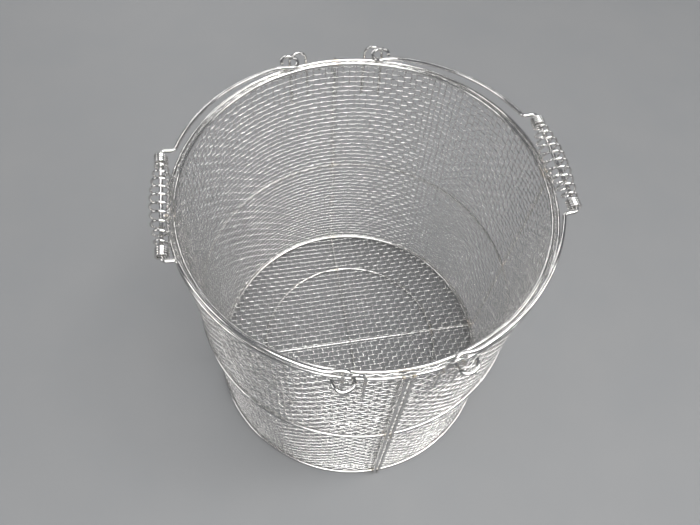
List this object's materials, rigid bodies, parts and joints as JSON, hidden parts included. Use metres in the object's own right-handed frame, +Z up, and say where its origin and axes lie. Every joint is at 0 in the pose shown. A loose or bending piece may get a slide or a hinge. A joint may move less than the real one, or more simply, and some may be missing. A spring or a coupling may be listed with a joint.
{
  "type": "wire strainer basket",
  "caption": "Round upright basket of woven stainless wire cloth on a wire frame, with folding bail handles that lie back on the rim and carry spring-coil grips.",
  "frame": {"origin": "the point of the resting surface under the middle of the basket", "axes": "+Z up; +Y from the seam at the front to the back; the bails hinge about lines parallel to Y and their grips lie at +X and -X"},
  "size_m": [0.3586, 0.3512, 0.3544],
  "materials": {
    "wire_cloth": "bright drawn stainless wire, woven square",
    "frame_wire": "electropolished stainless wire, dulled a little at the spot welds",
    "lug_wire": "electropolished stainless wire, dulled a little at the spot welds",
    "bail_wire": "bright polished stainless wire with faint draw marks",
    "coil_wire": "bright spring wire"
  },
  "bodies": {
    "basket": {"wall_cloth": "wire_cloth", "floor_cloth": "wire_cloth", "rim_inner_ring": "frame_wire", "rim_outer_ring": "frame_wire", "middle_hoop": "frame_wire", "base_outer_ring": "frame_wire", "base_inner_ring": "frame_wire", "floor_ring": "frame_wire", "rib_front_to_back": "frame_wire", "rib_left_to_right": "frame_wire", "seam_rod": "frame_wire", "lug_back_left": "lug_wire", "lug_back_right": "lug_wire", "lug_front_left": "lug_wire", "lug_front_right": "lug_wire"},
    "left_bail": {"bail_left": "bail_wire"},
    "right_bail": {"bail_right": "bail_wire"},
    "left_grip": {"grip_coil_left": "coil_wire"},
    "right_grip": {"grip_coil_right": "coil_wire"}
  },
  "joints": [
    {"name": "left_bail_swing", "type": "hinge", "parent": "basket", "child": "left_bail", "pos_m": [-0.038, 0, 0.33205], "axis": [0, 1, 0], "range_deg": [0, 95]},
    {"name": "right_bail_swing", "type": "hinge", "parent": "basket", "child": "right_bail", "pos_m": [0.038, 0, 0.33205], "axis": [0, -1, 0], "range_deg": [0, 95]},
    {"name": "left_grip_spin", "type": "hinge", "parent": "left_bail", "child": "left_grip", "pos_m": [-0.16884, 0, 0.34395], "axis": [0, 1, 0], "continuous": true},
    {"name": "right_grip_spin", "type": "hinge", "parent": "right_bail", "child": "right_grip", "pos_m": [0.16884, 0, 0.34395], "axis": [0, 1, 0], "continuous": true}
  ]
}
